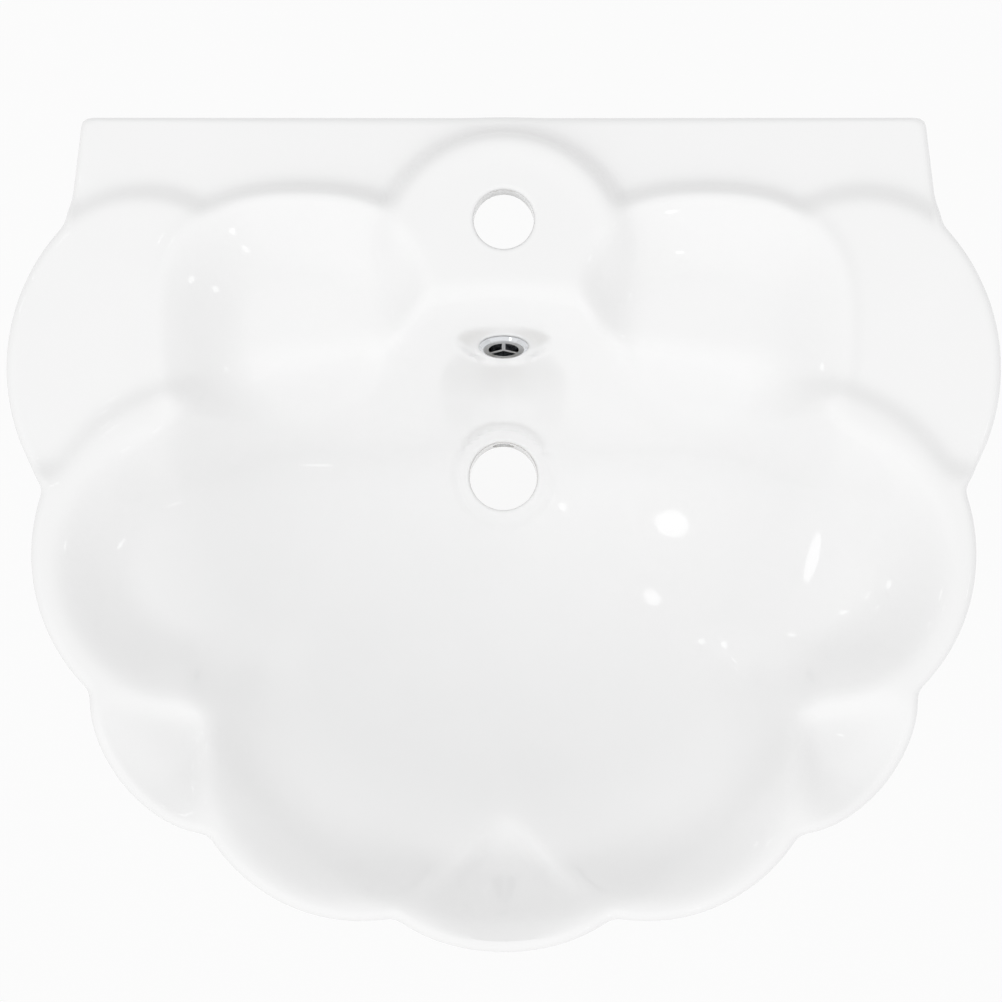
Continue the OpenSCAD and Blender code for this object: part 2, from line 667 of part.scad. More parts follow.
module overflow_ring() {
    barrel_r = overflow_d / 2 - fit_gap;
    color("silver")
    at_overflow()
        difference() {
            union() {
                translate([0, 0, ring_t])
                    rotate([180, 0, 0])
                        cylinder(h = ring_t + ring_len, r = barrel_r);
                rotate_extrude()
                    polygon([[barrel_r - ring_wall, 0.3], [ring_d / 2, 0.3],
                             [ring_d / 2, 0.9], [ring_d / 2 - 1.6, ring_t - 0.2],
                             [ring_d / 2 - 2.6, ring_t], [barrel_r - ring_wall, ring_t]]);
            }
            // three openings between the spokes
            translate([0, 0, -ring_len - 1])
                intersection() {
                    cylinder(h = ring_len + ring_t + 2, r = barrel_r - ring_wall);
                    for (a = [30, 150, 270])
                        rotate([0, 0, a])
                            translate([spoke_w / sqrt(3), 0, 0])
                                linear_extrude(ring_len + ring_t + 2)
                                    polygon([[0, 0], [40, 40 * sqrt(3)], [40, -40 * sqrt(3)]]);
                }
        }
}

// Rubber pad on the pedestal's top edge
module seat_pad(x, y) {
    color("dimgray")
    translate([x, y, ped_h])
        cylinder(h = pad_t, d = pad_d);
}
pad_ring = top_r - ped_t / 2;

// Inner face of the pedestal's foot, and the line of the side screw
foot_in = foot_r - 8 - ped_t;
screw_y = waste[1] + side_len - screw_from_back;

// Floor bracket inside the foot, for the right side; the left one mirrors it
module floor_bracket() {
    x1 = foot_in - fit_gap;
    h = plinth_h - 1;
    difference() {
        union() {
            translate([x1 - bracket_t, screw_y - bracket_len / 2, 0])
                cube([bracket_t, bracket_len, h]);
            translate([x1 - bracket_reach, screw_y - bracket_len / 2, 0])
                cube([bracket_reach, bracket_len, bracket_t]);
            for (e = [-1, 1])
                translate([x1 - bracket_t, screw_y + e * (bracket_len / 2 - 2) + 2, 0])
                    rotate([90, 0, 0])
                        linear_extrude(4)
                            polygon([[0.5, bracket_t - 0.5], [0.5, h - 3],
                                     [-bracket_reach / 2, bracket_t - 0.5]]);
        }
        translate([x1 - bracket_t - 5, screw_y, screw_z])
            rotate([0, 90, 0])
                cylinder(h = bracket_t + 10, r = screw_d / 2 + 0.1);
        translate([x1 - bracket_t - (bracket_reach - bracket_t) / 2, screw_y, -1])
            cylinder(h = bracket_t + 2, d = floor_hole_d);
    }
}

// Sleeve that keeps the screw off the ceramic, with a seat for the cap
module screw_sleeve() {
    face = foot_r - 2.2;
    translate([0, screw_y, screw_z])
        rotate([0, 90, 0])
            difference() {
                union() {
                    translate([0, 0, foot_in + 0.5])
                        cylinder(h = face - foot_in - 0.5, r = screw_d / 2 + 1.2);
                    translate([0, 0, face + 0.05])
                        cylinder(h = 1.2, d = cap_d - 1);
                    translate([0, 0, face - 1])
                        cylinder(h = 2, r = screw_d / 2 + 1.2);
                }
                translate([0, 0, foot_in - 5])
                    cylinder(h = 50, r = screw_d / 2 + 0.1);
            }
}

module side_screw() {
    face = foot_r - 2.2 + 1.25;
    translate([0, screw_y, screw_z])
        rotate([0, 90, 0]) {
            translate([0, 0, foot_in - fit_gap - bracket_t - 4])
                cylinder(h = face - foot_in + fit_gap + bracket_t + 5, d = screw_d);
            translate([0, 0, face + 0.02])
                cylinder(h = 2.2, d = screw_d * 1.9);
        }
}

module screw_cap() {
    face = foot_r - 2.2 + 1.25;
    translate([0, screw_y, screw_z])
        rotate([0, 90, 0])
            translate([0, 0, face + 0.02])
                rotate_extrude()
                    polygon([[cap_d / 2 - 1.8, 0], [cap_d / 2 - 0.4, 0],
                             [cap_d / 2 - 0.4, 1.6], [cap_d / 2 - 2, 3.2],
                             [cap_d / 2 - 4, 4], [0, 4.4], [0, 3],
                             [cap_d / 2 - 4.2, 2.7], [cap_d / 2 - 1.8, 1.2]]);
}

basin();
pedestal();
overflow_ring();
seat_pad(-pad_ring * sin(45), waste[1] - pad_ring * cos(45));  // seat_pad_front_left
seat_pad(pad_ring * sin(45), waste[1] - pad_ring * cos(45));  // seat_pad_front_right
seat_pad(-pad_ring, waste[1] + side_len - 16);  // seat_pad_rear_left
seat_pad(pad_ring, waste[1] + side_len - 16);  // seat_pad_rear_right
color("lightgray") mirror([1, 0, 0]) floor_bracket();  // floor_bracket_left
color("lightgray") floor_bracket();  // floor_bracket_right
color("ivory") mirror([1, 0, 0]) screw_sleeve();  // screw_sleeve_left
color("ivory") screw_sleeve();  // screw_sleeve_right
color("gainsboro") mirror([1, 0, 0]) side_screw();  // side_screw_left
color("gainsboro") side_screw();  // side_screw_right
color("white") mirror([1, 0, 0]) screw_cap();  // screw_cap_left
color("white") screw_cap();  // screw_cap_right
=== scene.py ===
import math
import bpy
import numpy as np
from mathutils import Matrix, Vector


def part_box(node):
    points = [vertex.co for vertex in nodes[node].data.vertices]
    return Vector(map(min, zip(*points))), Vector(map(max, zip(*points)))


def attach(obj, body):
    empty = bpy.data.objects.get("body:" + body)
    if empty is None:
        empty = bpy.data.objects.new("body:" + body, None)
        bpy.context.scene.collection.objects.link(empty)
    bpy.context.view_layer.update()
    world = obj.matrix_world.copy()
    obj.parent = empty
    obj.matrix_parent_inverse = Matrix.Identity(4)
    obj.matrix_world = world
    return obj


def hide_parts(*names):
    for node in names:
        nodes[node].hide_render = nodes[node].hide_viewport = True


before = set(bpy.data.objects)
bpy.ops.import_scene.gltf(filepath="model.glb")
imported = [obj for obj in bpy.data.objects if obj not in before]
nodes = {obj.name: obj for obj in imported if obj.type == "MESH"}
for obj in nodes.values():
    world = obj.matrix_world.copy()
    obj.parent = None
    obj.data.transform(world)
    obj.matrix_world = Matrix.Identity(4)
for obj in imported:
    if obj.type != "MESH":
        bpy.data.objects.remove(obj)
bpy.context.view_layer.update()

# %% [markdown]
# # A petalled pedestal sink
# The object is a bathroom sink of white vitreous china: a basin whose bowl is
# pressed into flower petals, standing on a hollow column. This lesson dresses
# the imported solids. The basin and the column are glossy, so every facet would
# show in the glaze, and both get fine surfaces worked out with numpy. The
# small fittings keep their exact solids and only get finishes.

# %% [markdown]
# ## Places and main sizes
# The whole lesson works in millimetres, because a potter's drawing does, and
# turns to metres when a mesh is made. Everything is placed from the packed
# basin: its back edge is the wall, its top is the tap platform's low bead, and
# the waste and the tap sit on the middle line at fixed distances from the wall.

# %% Places and main sizes
low, high = [np.array(c) * 1000 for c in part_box("basin")]
WALL, FRONT = high[1], low[1]
PLATFORM_RISE, PLATFORM_BEAD = 6.0, 1.5
SLAB_DROP = 12.0
RIM = high[2] - PLATFORM_RISE - PLATFORM_BEAD
WASTE = np.array([0.0, WALL - 201.5])
WASTE_R, TAP_R = 22.5, 17.5
TAP_Y = WALL - 66.5
BROW_Y = WALL - 101.5
BROW_RUN = 56.0
PLATFORM = np.array([0.0, WALL - 86.0])
PLATFORM_R = 74.0
WALL_T = 13.0
SEAT_DEPTH = 149.0
FLOOR_BASE = SEAT_DEPTH + 3
PETAL_FLOOR, UPPER_FLOOR = 31.0, 30.0
print("rim at", round(RIM, 1), "mm, waste at", WASTE.round(1))

# %% [markdown]
# ## Soft corners
# A glaze never leaves a sharp corner: it runs and rounds over. So the forms
# are blended with smooth versions of step, minimum and maximum. A blend has a
# width, and inside that width one form eases into the other.

# %% Smooth step, minimum and maximum


def soft_step(u):
    """0 below 0, 1 above 1, and 6u^5 - 15u^4 + 10u^3 between, level at both ends."""
    u = np.clip(u, 0, 1)
    return u * u * u * (u * (6 * u - 15) + 10)


def soft_min(a, b, width):
    """The lower of a and b, with a parabola that joins them over the width."""
    h = np.clip(0.5 + 0.5 * (b - a) / width, 0, 1)
    return b + (a - b) * h - width * h * (1 - h)


def soft_max(a, b, width):
    """The higher of a and b, blended over the width."""
    return -soft_min(-a, -b, width)


print("half way up the step:", soft_step(0.5))

# %% [markdown]
# ## Petals
# Each petal is a dish. Its distance is 0 at its middle and 1 on its rim, and a
# wall curve turns that distance into a share of the way up: flat in the
# middle, steep near the rim, and rounded over at the top. The side and front
# petals open towards the waste, as real petals do towards a flower's heart,
# and the two upper petals beside the tap are oblongs with soft corners.

# %% Petal distances and walls
SIDE_PETAL = (np.array([178.5, FRONT + 222.0]), 80.0)
FRONT_PETAL = (np.array([85.0, FRONT + 112.0]), 84.0)
UPPER_PETAL = (np.array([119.0, WALL - 121.5]), 77.0, 68.0)


def dish_wall(u, flat, round_over):
    """1 - (1 - u^flat)^round_over: level at 0, steep after it, level again at 1."""
    u = np.clip(u, 0, 1)
    return 1 - (1 - u ** flat) ** round_over


def join_walls(a, b):
    """Lower of two walls, blended most half way up and not at all at 0 and 1."""
    m = np.clip(np.minimum(a, b), 0, 1)
    return soft_min(a, b, 0.5 * m * (1 - m) + 0.0001)


def meet_walls(a, b):
    """Higher of two walls, blended most half way up and not at all at 0 and 1."""
    m = np.clip(np.maximum(a, b), 0, 1)
    return soft_max(a, b, 0.9 * m * (1 - m) + 0.0001)


def petal_distance(x, y, petal, grow=0.0):
    """Distance from a round petal's centre over its radius. Towards the waste
    the length is not counted and the petal widens by a quarter of the way."""
    centre, radius = petal
    d = (centre - WASTE) / np.linalg.norm(centre - WASTE)
    qx, qy = x - centre[0], y - centre[1]
    along, across = qx * d[0] + qy * d[1], qy * d[0] - qx * d[1]
    wide = radius + grow + 0.25 * np.maximum(0, -along)
    return np.hypot(np.maximum(0, along) / (radius + grow), across / wide)


def upper_distance(x, y, grow=0.0):
    """Rounded oblong: the 2.5th root of the sum of the 2.5th powers of x over
    the half width and y over the half depth, which is 1.35 times longer in front."""
    centre, half_w, half_d = UPPER_PETAL
    qx, qy = x - centre[0], y - centre[1]
    depth = np.where(qy > 0, half_d, half_d * 1.35) + grow
    return ((np.abs(qx) / (half_w + grow)) ** 2.5 + (np.abs(qy) / depth) ** 2.5) ** 0.4


def wall_share(x, y, grow=0.0):
    """Share of the way from the bowl's floor up to the land around it: the
    lowest of all the petals' walls, with the brow below the tap as a straight wall."""
    side = dish_wall((petal_distance(x, y, SIDE_PETAL, grow) - 0.5) / 0.5, 1.8, 1.5)
    front = dish_wall((petal_distance(x, y, FRONT_PETAL, grow) - 0.4) / 0.6, 2.0, 1.45)
    upper = dish_wall((upper_distance(x, y, grow) - 0.45) / 0.55, 1.8, 1.6)
    brow = soft_step((y - grow - BROW_Y + BROW_RUN) / BROW_RUN)
    return np.clip(join_walls(meet_walls(join_walls(side, front), brow), upper), 0, 1)


print("wall share over the waste:", wall_share(0.0, WASTE[1]))

# %% [markdown]
# ## Floor of the bowl
# Water must run to the waste from everywhere, so the floor is a shallow funnel:
# it rises with the distance from the waste, levels out under the petals, and
# behind the bowl it steps up to the soap dishes of the two upper petals.

# %% Floor height


def bowl_floor(x, y):
    """102 r^1.75 - 152, with r the distance from the waste over the bowl's
    reach, levelled at -31, and lifted to -30 under the upper petals. The lift
    grows by soft steps towards the wall and out from the middle line, where
    8 mm of rounding keeps it from leaving a crease."""
    qy = y - WASTE[1]
    r = np.hypot(x / 192, qy / np.where(qy < 0, 212.0, 190.0))
    base = soft_min((FLOOR_BASE - 50) * r ** 1.75 - FLOOR_BASE, -PETAL_FLOOR, 34.0)
    back = soft_step((y - 52 + 0.1 * x) / 76) * soft_step((np.hypot(x, 8) + 60) / 160)
    return base + back * np.maximum(0, -UPPER_FLOOR - base)


print("floor at the waste:", round(float(bowl_floor(0.0, WASTE[1])), 1), "mm")

# %% [markdown]
# ## The land between the petals
# Outside the large petals lies everything else: the rounded rim, the ridges
# that run in between petals, the small corner and middle petals, the raised
# ears, the low slab along the wall and the round tap platform. Each is a
# height, and soft steps fade one into the next.

# %% Land height and the whole top surface
EAR_LIP = np.array([170.0, FRONT + 225.0])
EAR_BACK, EAR_BACK_R = np.array([211.0, WALL - 119.0]), 71.2
CORNER = np.array([158.0, FRONT + 144.6])


def small_dish(qx, qy, half_w, half_d, depth):
    """Oval dish: -depth in its middle and 0 from its half axes outwards, with
    qx and qy from its middle."""
    t = (np.hypot(qx / half_w, qy / half_d) - 0.25) / 0.75
    return -depth * (1 - dish_wall(t, 1.8, 1.5))


def raised_by(x, y):
    """How far a point lies inside the lobes that stand above the slab: the
    ear, the upper petal's surround or the tap platform, whichever is most."""
    return np.maximum.reduce([
        EAR_BACK_R - np.hypot(x - EAR_BACK[0], y - EAR_BACK[1]),
        (1.12 - upper_distance(x, y)) * 71,
        PLATFORM_R - 1.5 - np.hypot(x, y - PLATFORM[1])])


def land(x, y):
    """Rim height 0, falling inwards along the ridges as 330 (0.94 - e)^1.1, with
    e the distance from the bowl's middle over 212 mm across and 230 mm along,
    but staying 4 mm over the floor; by 16 mm more at the middle of the corner
    lobes, fading out at 71 mm from it; plus the small dishes, the ear's gentle
    slope and the bead; stepped down 12 mm to the slab, and up 6 mm to the
    platform with a 1.5 mm bead round it."""
    side = petal_distance(x, y, SIDE_PETAL)
    front = petal_distance(x, y, FRONT_PETAL)
    upper = upper_distance(x, y)
    e = np.hypot(x / 212, (y + 10) / 230)
    fall = -330 * np.maximum(0, 0.94 - e) ** 1.1 * (1 - soft_step((y - 50) / 50))
    ridge = np.where(y < 100, soft_max(fall, np.minimum(bowl_floor(x, y) + 4, -8), 5), fall)
    ridge = ridge - 16 * soft_step((71 - np.hypot(x - CORNER[0], y - CORNER[1])) / 60)
    corner_dish = small_dish(x - 196, y - FRONT - 114, 44.0, 44.0, 10.0)
    ridge = ridge + corner_dish * soft_step(
        soft_min((side - 1) / 0.17, (front - 1) / 0.11, 0.8))
    other = petal_distance(-x, y, FRONT_PETAL)
    middle_dish = small_dish(x, y - FRONT - 37, 50.0, 37.0, 14.0)
    ridge = ridge + middle_dish * soft_step(
        soft_min((front - 1) / 0.14, (other - 1) / 0.14, 0.8))
    ear = -8 + 7 * (y - 45) / 150
    in_ear = soft_step((np.hypot(x - EAR_LIP[0], y - EAR_LIP[1]) - 92) / 16) \
        * soft_step((y - 20) / 20) * soft_step((x - 120) / 40)
    bead = 3 * np.exp(-((upper - 1.06) / 0.05) ** 2) * soft_step((y - 60) / 20)
    height = ridge + (ear - ridge) * in_ear + bead
    raised = soft_step((np.maximum(raised_by(x, y), BROW_Y - y) + 7.5) / 15)
    height = -SLAB_DROP + (height + SLAB_DROP) * raised
    from_tap = np.hypot(x, y - PLATFORM[1])
    disc = PLATFORM_RISE + PLATFORM_BEAD * np.exp(-((from_tap - PLATFORM_R + 12) / 6) ** 2)
    return height + (disc - height) * soft_step((PLATFORM_R - from_tap + 5) / 13)


def crisp_height(x, y):
    """Floor plus wall share times the way from the floor to the land. Left and
    right mirror each other."""
    x = np.abs(x)
    f = bowl_floor(x, y)
    return f + (land(x, y) - f) * wall_share(x, y)


# The wall under the tap is a soft step, and a soft step's middle is 1.875 times
# as steep as the straight line from foot to top. The overflow is square to it.
OVERFLOW_DROP = 55.0
WALL_LOW = FLOOR_BASE - 47
WALL_RISE = WALL_LOW + PLATFORM_RISE
OVERFLOW_SLOPE = 1.875 * WALL_RISE / BROW_RUN
OVERFLOW_TILT = math.atan(OVERFLOW_SLOPE)
OVERFLOW_Y = BROW_Y - BROW_RUN / 2 + (WALL_LOW - OVERFLOW_DROP - WALL_RISE / 2) / OVERFLOW_SLOPE
OVERFLOW = np.array([0, OVERFLOW_Y, RIM - OVERFLOW_DROP])


def top_height(x, y):
    """Height of the glazed top over the rim plane: the crisp height averaged
    over a 5 mm circle, counting the middle twice and six points round it once;
    made a flat slope round the overflow, and eased down to a flat seat round
    the waste hole."""
    t = np.radians(60 * np.arange(6))
    ring = sum(crisp_height(x + 5 * c, y + 5 * s) for c, s in zip(np.cos(t), np.sin(t)))
    height = (2 * crisp_height(x, y) + ring) / 8
    slope = -OVERFLOW_DROP + (y - OVERFLOW_Y) * OVERFLOW_SLOPE
    spread = np.hypot(x, (y - OVERFLOW_Y) / math.cos(OVERFLOW_TILT))
    height = height + (slope - height) * soft_step((32 - spread) / 16)
    seat = soft_step((35.5 - np.hypot(x, y - WASTE[1])) / 6)
    return height + (-SEAT_DEPTH - height) * seat


print("tap platform at", round(float(top_height(0.0, TAP_Y)), 1), "mm over the rim")

# %% [markdown]
# ## Outline
# Seen from above the rim is a chain of circular lobes that meet in notches,
# closed by a straight slab along the wall. Along each bearing from the waste
# the outline is the farthest lobe, and the slab is added with a soft corner.

# %% Lobes and the distance to the edge
NOSE_R, FRONT_R, CORNER_R, SIDE_R, EAR_R = 108.2, 102.5, 79.0, 110.0, 120.5
SLAB_HALF_W, SLAB_FLARE = 250.5, 0.1
LOBES = np.array([
    [0.0, FRONT + NOSE_R, NOSE_R],
    [81.0, FRONT + 120.4, FRONT_R],
    [*CORNER, CORNER_R],
    [162.2, FRONT + 228.0, SIDE_R],
    [high[0] - EAR_R, WALL - 150.0, EAR_R]])


def far_side(centre, radius, dx, dy):
    """Distance from the waste to the far side of a circle along a direction,
    from the right triangle of radius and miss distance; 0 where it misses."""
    qx, qy = centre[0] - WASTE[0], centre[1] - WASTE[1]
    along, across = qx * dx + qy * dy, qy * dx - qx * dy
    root = np.sqrt(np.maximum(0, radius ** 2 - across ** 2))
    return np.where(np.abs(across) < radius, along + root, 0.0)


def edge_distance(a):
    """Outline distance from the waste along bearing a, in radians: the lobes
    joined one by one, then the slab, which is 250.5 mm to a side at the wall
    and wider in front of it by a tenth of the way."""
    dx, dy = np.abs(np.cos(a)), np.sin(a)
    far = 0.0
    for x, y, radius in LOBES:
        far = soft_max(far, far_side((x, y), radius, dx, dy), 4.0)
    back = np.where(dy > 0.05, (WALL - WASTE[1]) / np.maximum(dy, 0.05), 1e4)
    run = dx + SLAB_FLARE * dy
    reach = SLAB_HALF_W + SLAB_FLARE * (WALL - WASTE[1])
    side = np.where(run > 0.01, reach / np.maximum(run, 0.01), 1e4)
    slab = np.where(dy > 0.3, soft_min(back, side, 8.0), 0.0)
    return np.minimum(back, soft_max(far, slab, 3.0))


def at(a, d):
    """Points at distance d from the waste along bearing a."""
    return WASTE[0] + d * np.cos(a), WASTE[1] + d * np.sin(a)


def even_bearings(count):
    """Bearings that cut the outline into pieces of equal length."""
    a = np.linspace(-math.pi / 2, 1.5 * math.pi, 20001)
    x, y = at(a, edge_distance(a))
    run = np.concatenate([[0], np.cumsum(np.hypot(np.diff(x), np.diff(y)))])
    return np.interp(np.linspace(0, run[-1], count + 1)[:-1], run, a)


RAYS = even_bearings(540)
EDGE = edge_distance(RAYS)
print("rays:", len(RAYS), "outline reach:", EDGE.min().round(1), "to", EDGE.max().round(1))

# %% [markdown]
# ## Underside
# The ware is a shell about 13 mm thick. Under the rim hangs a skirt, deeper
# along the wall; inside it the underside follows the bowl, offset by the wall,
# and flares down into the collar that stands on the column. A boss carries
# the waste hole down through the middle of the collar.

# %% Heights of the underside
COLLAR_DROP = 200.0
COLLAR_R = 99.0
COLLAR_BACK = WALL - 115.0
BOSS_R, BOSS_DROP = WASTE_R + 12, SEAT_DEPTH + WALL_T + 16
SKIRT = 28.0
APRON = 150.0
EDGE_R = 7.0


def collar_distance(a, inset=0.0):
    """Collar outline along bearing a: a half circle in front, and a box behind
    with soft corners."""
    r, b = COLLAR_R - inset, COLLAR_BACK - inset - WASTE[1]
    box = soft_min(r / np.maximum(0.01, np.abs(np.cos(a))),
                   b / np.maximum(0.01, np.sin(a)), 12.0)
    return np.where(np.sin(a) <= 0, r, box)


def under_height(x, y, a, d):
    """Lower of the shell, which is the bowl offset by the wall, and the flank,
    which rises outwards from the collar with a slope of 2.4, and of 11.4 on
    the side of the wall."""
    f = bowl_floor(np.abs(x), y) - WALL_T
    shell = f + (-SKIRT - f) * wall_share(np.abs(x), y, WALL_T)
    shell = np.minimum(shell, top_height(x, y) - WALL_T)
    back = soft_step((np.sin(a) - 0.3) / 0.5)
    flank = -COLLAR_DROP + (2.4 + 9 * back) * (d - collar_distance(a))
    return soft_min(shell, flank, 22 - 14 * back)


def skirt_height(a):
    """Lower edge of the skirt: 28 mm down, and 150 mm along the wall."""
    x, y = at(a, edge_distance(a))
    deep = soft_step((y - WALL + 60) / 55) * soft_step((262 - np.abs(x)) / 90)
    return -SKIRT - (APRON - SKIRT) * deep


print("collar from", -COLLAR_DROP, "mm, skirt", skirt_height(np.array([-1.57, 1.57])).round(0))

# %% [markdown]
# ## Skinning the basin
# The basin is one closed skin of rings, like the growth rings of a shell: out
# over the bowl and the land to the edge, round the edge, down the skirt, back
# in under the plate to the collar, up inside the collar and down the boss.
# Each ring has one point on every bearing, so neighbouring rings join in a
# plain grid of four-sided faces. A grid keeps the glaze's reflections smooth.

# %% Mesh helpers


def new_piece(name, points, quads, smooth_angle=35.0):
    """Mesh object from points in millimetres and faces, shaded smooth but for
    edges that turn by more than the given angle."""
    mesh = bpy.data.meshes.new(name)
    mesh.from_pydata((np.asarray(points) / 1000).tolist(), [], quads)
    mesh.update()
    mesh.polygons.foreach_set("use_smooth", np.ones(len(mesh.polygons), bool))
    mesh.set_sharp_from_angle(angle=math.radians(smooth_angle))
    piece = bpy.data.objects.new(name, mesh)
    bpy.context.scene.collection.objects.link(piece)
    return piece


def get_points(piece):
    """The piece's points in metres, one row each."""
    co = np.zeros(len(piece.data.vertices) * 3)
    piece.data.vertices.foreach_get("co", co)
    return co.reshape(-1, 3)


def set_points(piece, co):
    """Moves the piece's points and gives the piece back."""
    piece.data.vertices.foreach_set("co", co.ravel())
    piece.data.update()
    return piece


def ring_quads(n_rings, n_points):
    """Faces between closed rings that lie one after the other in the list."""
    i, j = np.meshgrid(np.arange(n_rings - 1), np.arange(n_points), indexing="ij")
    k = (j + 1) % n_points
    quads = np.stack([i * n_points + j, (i + 1) * n_points + j,
                      (i + 1) * n_points + k, i * n_points + k], axis=-1)
    return quads.reshape(-1, 4).tolist()


def cap(first, n_points, hub, flip=False):
    """Fan of triangles from a hub point to one closed ring."""
    j = np.arange(n_points)
    k = (j + 1) % n_points
    fan = np.stack([first + j, first + k, np.full(n_points, hub)], axis=-1)
    return (fan[:, ::-1] if flip else fan).tolist()


# %% Rings of the basin
TOP_RINGS, EDGE_RINGS, UNDER_RINGS, INSIDE_RINGS = 130, 8, 26, 6


def lifted(a, d, z):
    """One ring: points at distance d and height z over the rim plane."""
    x, y = at(a, d)
    return np.stack([x, y, RIM + z + 0 * x], axis=-1)


def basin_rings():
    """All rings of the skin, from the seat of the waste to the boss."""
    a, rings = RAYS, []
    inner, outer = 0.8 * WASTE_R, EDGE - EDGE_R
    for s in np.linspace(0, 1, TOP_RINGS):
        d = inner + (outer - inner) * s
        rings.append(lifted(a, d, top_height(*at(a, d))))
    rim = top_height(*at(a, outer))
    for t in np.radians(np.linspace(90 / EDGE_RINGS, 90, EDGE_RINGS)):
        rings.append(lifted(a, EDGE - EDGE_R * (1 - math.sin(t)),
                            rim - EDGE_R * (1 - math.cos(t))))
    skirt = skirt_height(a)
    rings += [lifted(a, EDGE, skirt + 3), lifted(a, EDGE - 0.9, skirt + 0.9),
              lifted(a, EDGE - 3, skirt), lifted(a, EDGE - WALL_T + 1, skirt),
              lifted(a, EDGE - WALL_T - 1, 2 - SKIRT)]
    collar = collar_distance(a)
    start = EDGE - WALL_T - 5
    for s in np.linspace(1, 0, UNDER_RINGS):
        d = collar + (start - collar) * s ** 0.9
        x, y = at(a, d)
        z = np.minimum(under_height(x, y, a, d), 1 - SKIRT)
        rings.append(lifted(a, d, -COLLAR_DROP if s == 0 else z))
    inside = collar_distance(a, WALL_T)
    rings.append(lifted(a, inside, -COLLAR_DROP))
    for s in np.linspace(0, 1, INSIDE_RINGS):
        d = inside + (BOSS_R - inside) * s
        nearer = np.maximum(d - 12, 24)
        z = np.minimum(top_height(*at(a, d)), top_height(*at(a, nearer))) - WALL_T
        rings.append(lifted(a, d, -FLOOR_BASE - WALL_T if s == 1 else z))
    rings.append(lifted(a, BOSS_R, -BOSS_DROP))
    return np.array(rings)


rings = basin_rings()
points = np.concatenate([rings.reshape(-1, 3),
                         [[*WASTE, RIM - SEAT_DEPTH], [*WASTE, RIM - BOSS_DROP]]])
m, n = rings.shape[:2]
faces = ring_quads(m, n) + cap(0, n, m * n) + cap((m - 1) * n, n, m * n + 1, flip=True)
basin = new_piece("basin_ware", points, faces)
print("basin skin:", m, "rings,", len(faces), "faces")

# %% [markdown]
# ## Ribs, duct and holes
# Two ribs tie the bowl to the back wall, and a moulded duct leads the overflow
# down to the waste. They are joined to the skin, and then the holes are cut
# with round cutters. The glaze rounds the edges of the waste and tap holes, so
# their cutters flare out at the surface by the radius of that edge. The bores
# are cut into each other: the duct's shaft meets the overflow at its top and a
# level outlet at its foot, and the outlet opens into the waste hole.

# %% Ribs, duct and cutters


def turned(name, profile, segments=96):
    """Closed solid of revolution: radius and height pairs turned about Z, with
    a hub at each end. Each pair gives one ring of points."""
    t = np.linspace(0, 2 * math.pi, segments, endpoint=False)
    r, z = np.array(profile, float).T
    grid = np.stack([r[:, None] * np.cos(t), r[:, None] * np.sin(t),
                     z[:, None] + 0 * t], axis=-1)
    ends = [[0, 0, z[0]], [0, 0, z[-1]]]
    m = len(r)
    quads = [q[::-1] for q in ring_quads(m, segments)]
    quads += cap(0, segments, m * segments, flip=True)
    quads += cap((m - 1) * segments, segments, m * segments + 1)
    return new_piece(name, np.concatenate([grid.reshape(-1, 3), ends]), quads)


def placed(piece, origin, tilt=0.0):
    """Tilts a piece about X and moves it, in its own mesh."""
    c, s = math.cos(tilt), math.sin(tilt)
    turn = np.array([[1, 0, 0], [0, c, -s], [0, s, c]])
    return set_points(piece, get_points(piece) @ turn.T + np.array(origin) / 1000)


def flared(radius, depth, lip, above=30.0):
    """Cutter profile: a cylinder whose mouth opens by the lip's radius along a
    quarter circle, and then goes on straight up above the surface."""
    t = np.linspace(0, math.pi / 2, 7)
    mouth = [(radius + lip * (1 - math.cos(u)), lip * (math.sin(u) - 1)) for u in t]
    return [(radius, -depth)] + mouth + [(radius + lip, above)]


def combine(piece, other, how):
    """Applies a boolean with the other piece and removes the other piece."""
    step = piece.modifiers.new("step", "BOOLEAN")
    step.operation, step.object, step.solver = how, other, "MANIFOLD"
    bpy.context.view_layer.update()
    done = bpy.data.meshes.new_from_object(
        piece.evaluated_get(bpy.context.evaluated_depsgraph_get()))
    piece.modifiers.clear()
    piece.data = done
    bpy.data.objects.remove(other)
    return len(done.polygons)


def fold_quads(count):
    """Faces that close a loop folded in half: its first half against its last."""
    i = np.arange(count // 2 - 1)
    return np.stack([i, i + 1, count - 2 - i, count - 1 - i], axis=-1)


def rib(x):
    """Plate 11 mm thick across the back cavity: its upper edge runs 6 mm inside
    the shell, and its lower edge is level, 120 mm below the rim."""
    y = np.linspace(COLLAR_BACK + 2, WALL - WALL_T / 2, 40)
    a = np.arctan2(y - WASTE[1], abs(x))
    top = under_height(abs(x) + 0 * y, y, a, np.hypot(abs(x), y - WASTE[1])) + 6
    bottom = np.minimum(-120.0, top - 3)
    loop_y, loop_z = np.concatenate([y, y[::-1]]), RIM + np.concatenate([top, bottom[::-1]])
    sides = [np.column_stack([np.full(len(loop_y), x + e), loop_y, loop_z])
             for e in (-RIB_T / 2, RIB_T / 2)]
    ends = fold_quads(len(loop_y))
    quads = ring_quads(2, len(loop_y)) + ends.tolist() + (ends[:, ::-1] + len(loop_y)).tolist()
    return new_piece("rib", np.concatenate(sides), quads)


# %% Join the ribs and the duct, then cut the holes
RIB_T, RIB_X = 11.0, 92.0
DUCT_Y, DUCT_LOW = BROW_Y - 5, 12 - BOSS_DROP
CHANNEL_R, OUTLET_R = 7.5, 7.0
DUCT_START, OUTLET_START = WASTE[1] + BOSS_R - 4, WASTE[1] + WASTE_R / 2
OVERFLOW_R = 11.0
BOLT_R, BOLT_X, BOLT_DROP = 7.0, 140.0, 72.0
LIP = 2.5
TAP_TOP, TAP_LEDGE, CLAMP_R = RIM + PLATFORM_RISE, 14.0, TAP_R + 10

